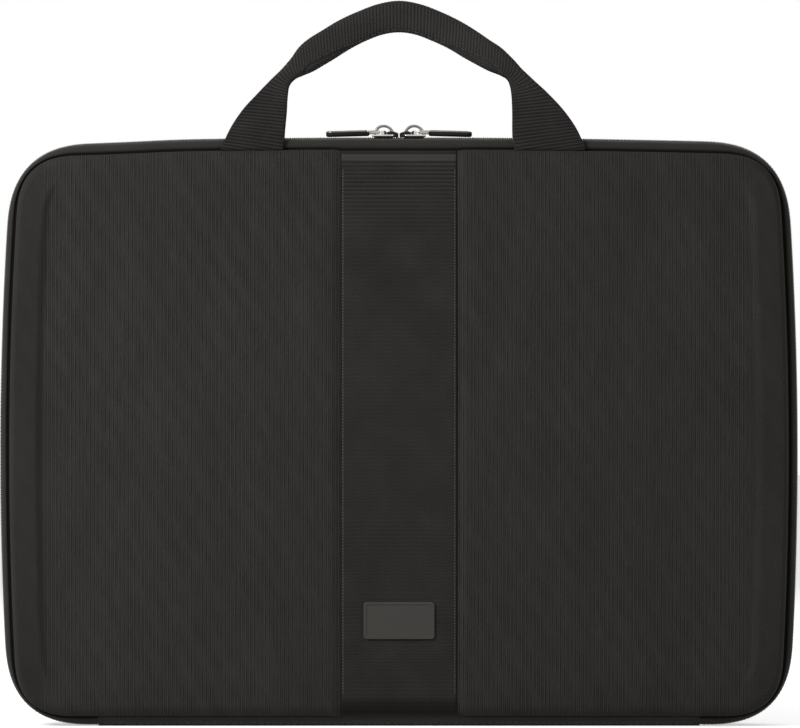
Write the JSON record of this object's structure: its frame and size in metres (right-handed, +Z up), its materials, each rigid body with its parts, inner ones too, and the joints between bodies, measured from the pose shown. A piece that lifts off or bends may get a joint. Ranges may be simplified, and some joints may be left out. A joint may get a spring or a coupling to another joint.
{
  "type": "laptop hard case",
  "caption": "Slim moulded laptop case with fabric-covered shells, centre webbing stripe, two-way zip round a soft band, fabric hinge along the bottom and webbing handles.",
  "frame": {"origin": "bottom centre of the closed case as it stands on its hinge strip, handles up; the handles add nothing to the footprint", "axes": "+X to the right across the width, +Y from the front shell to the rear shell through the thickness, +Z up to the handles"},
  "size_m": [0.43, 0.0538, 0.3903],
  "materials": {
    "shell_fabric": "tightly ribbed nylon laminated on moulded foam, matt",
    "band_fabric": "plain nylon over foam, matt",
    "hinge_fabric": "ribbed nylon, matt",
    "webbing": "ribbed polyester webbing, slight sheen",
    "stripe_webbing": "fine-ribbed polyester webbing, slight sheen",
    "zip_tape": "woven tape, matt",
    "zip_teeth": "nylon coil, satin",
    "lining_fabric": "brushed tricot over foam",
    "binding": "grosgrain binding, matt",
    "elastic": "woven elastic, matt",
    "patch_rubber": "moulded rubber, matt",
    "nickel": "plated nickel, polished",
    "gunmetal": "dark plated metal, satin"
  },
  "bodies": {
    "rear_half": {"rear_shell": "shell_fabric", "rear_lining": "lining_fabric", "rear_gusset": "band_fabric", "rear_zipper_tape": "zip_tape", "rear_zipper_teeth": "zip_teeth", "rear_seam_binding": "binding", "hinge_strip": "hinge_fabric", "corner_strap_top_left": "elastic", "corner_strap_top_right": "elastic", "corner_strap_bottom_left": "elastic", "corner_strap_bottom_right": "elastic"},
    "lid": {"front_shell": "shell_fabric", "front_lining": "lining_fabric", "front_gusset": "band_fabric", "front_zipper_tape": "zip_tape", "front_zipper_teeth": "zip_teeth", "front_seam_binding": "binding", "center_stripe": "stripe_webbing", "label_patch": "patch_rubber", "slip_pocket": "lining_fabric", "pocket_hem": "binding"},
    "front_handle": {"front_handle": "webbing"},
    "rear_handle": {"rear_handle": "webbing"},
    "left_slider": {"left_slider": "nickel"},
    "right_slider": {"right_slider": "nickel"},
    "left_pull": {"left_pull": "gunmetal"},
    "right_pull": {"right_pull": "gunmetal"}
  },
  "joints": [
    {"name": "lid_hinge", "type": "hinge", "parent": "rear_half", "child": "lid", "pos_m": [0, -0.0217, 0.0056], "axis": [1, 0, 0], "range_deg": [0, 90]},
    {"name": "front_handle_swing", "type": "hinge", "parent": "lid", "child": "front_handle", "pos_m": [0, -0.0184, 0.3109], "axis": [-1, 0, 0], "range_deg": [-85, 0]},
    {"name": "rear_handle_swing", "type": "hinge", "parent": "rear_half", "child": "rear_handle", "pos_m": [0, 0.0184, 0.3109], "axis": [-1, 0, 0], "range_deg": [0, 85]},
    {"name": "left_slider_run", "type": "slide", "parent": "rear_half", "child": "left_slider", "axis": [-1, 0, -0.0072], "range_m": [0, 0.14]},
    {"name": "right_slider_run", "type": "slide", "parent": "rear_half", "child": "right_slider", "axis": [1, 0, -0.0072], "range_m": [0, 0.14]},
    {"name": "left_pull_lift", "type": "hinge", "parent": "left_slider", "child": "left_pull", "pos_m": [-0.011, 0, 0.3196], "axis": [0, 1, 0], "range_deg": [0, 110]},
    {"name": "right_pull_lift", "type": "hinge", "parent": "right_slider", "child": "right_pull", "pos_m": [0.011, 0, 0.3196], "axis": [0, -1, 0], "range_deg": [0, 110]}
  ]
}
